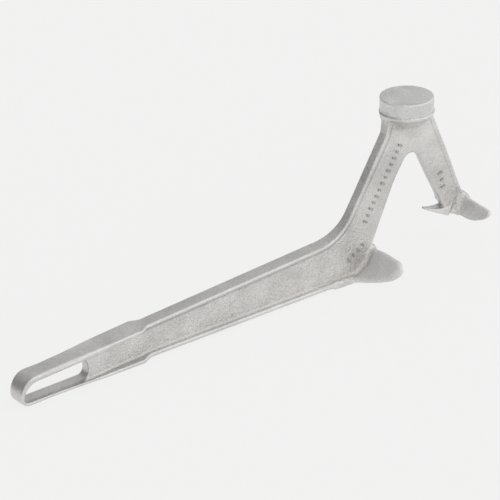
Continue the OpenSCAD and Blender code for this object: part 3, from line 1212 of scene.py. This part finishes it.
@dataclass(frozen=True)
class CastAluminium:
    """Cast aluminium: satin, faintly mottled, with grain and pits, outer edges painted brighter for
    wear and painted highlight, and hollows painted darker for grime and painted shade.
    """

    name: str
    slot: Slot
    look: Look = Look.PLAIN
    light: tuple[float, float, float, float] = (0.80, 0.78, 0.765, 1)
    dark: tuple[float, float, float, float] = (0.50, 0.485, 0.475, 1)
    # Colour painted onto outer edges: part wear, part painted highlight on the rounded edges.
    edge: tuple[float, float, float, float] = (0.84, 0.84, 0.82, 1)
    # Colour painted into hollows: part casting grime, part painted shade in the creases.
    hollow: tuple[float, float, float, float] = (0.25, 0.25, 0.225, 1)
    roughness: float = 0.40
    rough_swing: float = 0.2
    metallic: float = 0.94
    grain_size: float = 0.75
    sand_size: float = 1.95
    mottle_size: float = 14.0
    streak_size: float = 42.0
    pit_spacing: float = 3.1
    grain_depth: float = 0.75
    wear_and_highlight: float = 0.2

    def material(self) -> bpy.types.Material:
        """Make the material.

        Returns:
            A node material that carries its patterns in the tool's own frame.
        """
        made = bpy.data.materials.new(self.name)
        made.use_nodes = True
        graph = Graph(made.node_tree)
        at = graph.node("ShaderNodeTexCoord", out="Object")
        bend = graph.node("ShaderNodeAttribute", {"attribute_name": "bend"}, out="Fac")
        grain = graph.noise(at, self.grain_size, 3.0, 0.6)
        sand = graph.noise(at, self.sand_size, 2.0, 0.55)
        mottle = graph.noise(at, self.mottle_size, 4.0, 0.6)
        streak = graph.noise(at, self.streak_size, 2.0, 0.5)
        pits = graph.node("ShaderNodeTexVoronoi", {"feature": "F1"},
                          {"Vector": at, "Scale": 1 / (self.pit_spacing * MM), "Randomness": 1.0})
        pit = (1 - (pits - 0.05) * 9.0).clipped() * (sand * 4.0 - 1.9).clipped()
        tone = ((mottle - 0.5) * 1.2 + (grain - 0.5) * 2.0 + (streak - 0.5) * 0.6 + 0.5).clipped()
        colour = graph.tint(self.dark, self.light, tone)
        # Outer edges painted lighter: part wear, part painted highlight on the rounded edges.
        edge_wear_and_highlight = ((bend * 1.6 - 0.12) * (0.55 + mottle * 0.9)).clipped() * self.wear_and_highlight
        colour = graph.tint(colour, self.edge, edge_wear_and_highlight)
        # Hollows painted darker towards the hollow colour: part grime, part painted shade where the
        # creases fall in shade.
        hollow_shade_and_grime = ((bend * -1.5 - 0.08) * (0.5 + sand)).clipped() * 0.8
        colour = graph.tint(colour, self.hollow, (hollow_shade_and_grime + pit * 0.5).clipped())
        swing = self.rough_swing
        rough = self.roughness + (grain - 0.5) * swing + (mottle - 0.5) * swing
        rough = rough - edge_wear_and_highlight * 0.14 + hollow_shade_and_grime * 0.12 + pit * 0.1
        relief = grain * 0.5 + sand * 0.7 - pit * 0.8
        bump = graph.node("ShaderNodeBump", {}, {
            "Strength": 1.0, "Distance": self.grain_depth * MM, "Height": relief})
        shader = graph.node("ShaderNodeBsdfPrincipled", {}, {
            "Base Color": colour, "Metallic": self.metallic, "Roughness": rough.clipped(0.2, 0.95),
            "Normal": bump})
        graph.node("ShaderNodeOutputMaterial", {}, {"Surface": shader})
        return made


FINISHES = (
    CastAluminium("cast_skin_satin", Slot.CAST),
    # A rougher copy of the cast skin for the heel's and toe's wings, with lighter colours that are
    # painted light for the bounce light on them.
    CastAluminium("cast_skin_matt_painted_light", Slot.CAST, look=Look.MATT_PAINTED_LIGHT, roughness=0.6, metallic=0.5,
                  light=(0.86, 0.85, 0.84, 1), dark=(0.62, 0.61, 0.60, 1)),
    CastAluminium("cast_skin_shaded", Slot.CAST, look=Look.SHADED, roughness=0.5,
                  light=(0.58, 0.57, 0.56, 1), dark=(0.36, 0.355, 0.345, 1)),
    CastAluminium("handled_skin_satin", Slot.HANDLED, roughness=0.34, grain_depth=0.26,
                  light=(0.74, 0.73, 0.72, 1), dark=(0.46, 0.455, 0.445, 1), wear_and_highlight=0.25),
    CastAluminium("struck_face_satin", Slot.STRUCK, roughness=0.38, grain_depth=0.36,
                  light=(0.84, 0.84, 0.825, 1), dark=(0.54, 0.545, 0.53, 1)),
)


# ---------------------------------------------------------------- studio


@dataclass(frozen=True)
class Studio:
    """The pale floor, the soft light and the camera."""

    azimuth: float = -29.57
    elevation: float = 26.4
    roll: float = 6.5
    distance: float = 12.0
    view_width: float = 0.291
    aim: tuple[float, float, float] = (0.00245, -0.0117, 0.0492)
    floor_half: float = 8.0
    floor_glow: float = 0.80
    floor_tone: float = 0.10
    floor_light: tuple[float, float, float, float] = (1, 1, 0.995, 1)
    sensor: float = 36.0
    farthest: float = 50.0
    bright_way: tuple[float, float, float] = (0.63, -0.63, 0.45)
    level: float = 0.66
    swing: float = 0.58
    dimmest: float = 0.22
    brightest: float = 1.2

    def build_camera(self) -> None:
        """Make the camera and give it to the scene."""
        data = bpy.data.cameras.new("camera")
        data.sensor_width = self.sensor
        data.lens = data.sensor_width * self.distance / self.view_width
        data.clip_end = self.farthest
        camera = bpy.data.objects.new("camera", data)
        bpy.context.collection.objects.link(camera)
        a, e, r = (math.radians(v) for v in (self.azimuth, self.elevation, self.roll))
        back = Vector((math.sin(a) * math.cos(e), -math.cos(a) * math.cos(e), math.sin(e)))
        level = Vector((math.cos(a), math.sin(a), 0))
        above = back.cross(level)
        right = level * math.cos(r) - above * math.sin(r)
        up = back.cross(right)
        camera.matrix_world = Matrix.Translation(Vector(self.aim) + back * self.distance) @ Matrix(
            (right, up, back)).transposed().to_4x4()
        bpy.context.scene.camera = camera

    def build_floor(self) -> None:
        """Make the pale floor."""
        mesh = bpy.data.meshes.new("floor")
        half = self.floor_half
        mesh.from_pydata([(-half, -half, 0), (half, -half, 0), (half, half, 0), (-half, half, 0)],
                         [], [(0, 1, 2, 3)])
        floor = bpy.data.objects.new("floor", mesh)
        bpy.context.collection.objects.link(floor)
        material = bpy.data.materials.new("pale_floor")
        material.use_nodes = True
        graph = Graph(material.node_tree)
        tone, glow = self.floor_tone, self.floor_glow
        shader = graph.node("ShaderNodeBsdfPrincipled", {}, {
            "Base Color": (tone, tone, tone, 1), "Roughness": 1.0, "Specular IOR Level": 0.0,
            "Emission Color": self.floor_light, "Emission Strength": glow})
        graph.node("ShaderNodeOutputMaterial", {}, {"Surface": shader})
        mesh.materials.append(material)
        floor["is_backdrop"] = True

    def build_light(self) -> None:
        """Light the studio softly, brighter from one side than from the other."""
        scene = bpy.context.scene
        scene.view_settings.view_transform = "Standard"
        world = bpy.data.worlds.new("studio")
        scene.world = world
        world.use_nodes = True
        graph = Graph(world.node_tree)
        at = graph.node("ShaderNodeTexCoord", out="Generated")
        way = Vector(self.bright_way).normalized()
        facing = graph.node("ShaderNodeVectorMath", {"operation": "DOT_PRODUCT"},
                            {0: at, 1: tuple(way)}, out="Value")
        strength = (self.level + facing * self.swing).clipped(self.dimmest, self.brightest)
        sky = graph.node("ShaderNodeBackground", {}, {"Color": (1, 1, 1, 1), "Strength": strength})
        graph.node("ShaderNodeOutputWorld", {}, {"Surface": sky})


def dress(piece: bpy.types.Object, nodes: tuple[str, ...],
          finish: bpy.types.Material) -> None:
    """Give a piece its finish and its body, and hide the CAD nodes that it stands for.

    Args:
        piece: The piece.
        nodes: The CAD nodes.
        finish: Its material.
    """
    piece.data.materials.clear()
    piece.data.materials.append(finish)
    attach(piece, "root")
    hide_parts(*nodes)
    log.info("%s stands for %s", piece.name, ", ".join(nodes))


MARKS = (
    MarkRow("arm_mark_bars", "arm_marks", (243.6, 34.6), (0.59, 0.807), 13, 4.1),
    MarkRow("elbow_mark_bars", "elbow_marks", (229.6, 14.2), (0.861, 0.509), 4, 4.2),
    MarkRow("leg_mark_bars", "leg_marks", (297.6, 47.6), (0.1, -0.995), 3, 4.6),
)


def main() -> None:
    """Build the studio and the tool in order."""
    logging.basicConfig(level=logging.INFO, format="%(name)s: %(message)s")
    studio = Studio()
    studio.build_camera()
    studio.build_floor()
    studio.build_light()
    finishes = {(finish.slot, finish.look): finish.material() for finish in FINISHES}
    casting = Casting()
    for region, piece in casting.build():
        dress(piece, region.nodes, finishes[region.slot, region.look])
    for row in MARKS:
        piece = row.build(casting.arm.web_half_t)
        dress(piece, (row.node,), finishes[Slot.CAST, Look.SHADED])


if __name__ == "__main__":
    main()
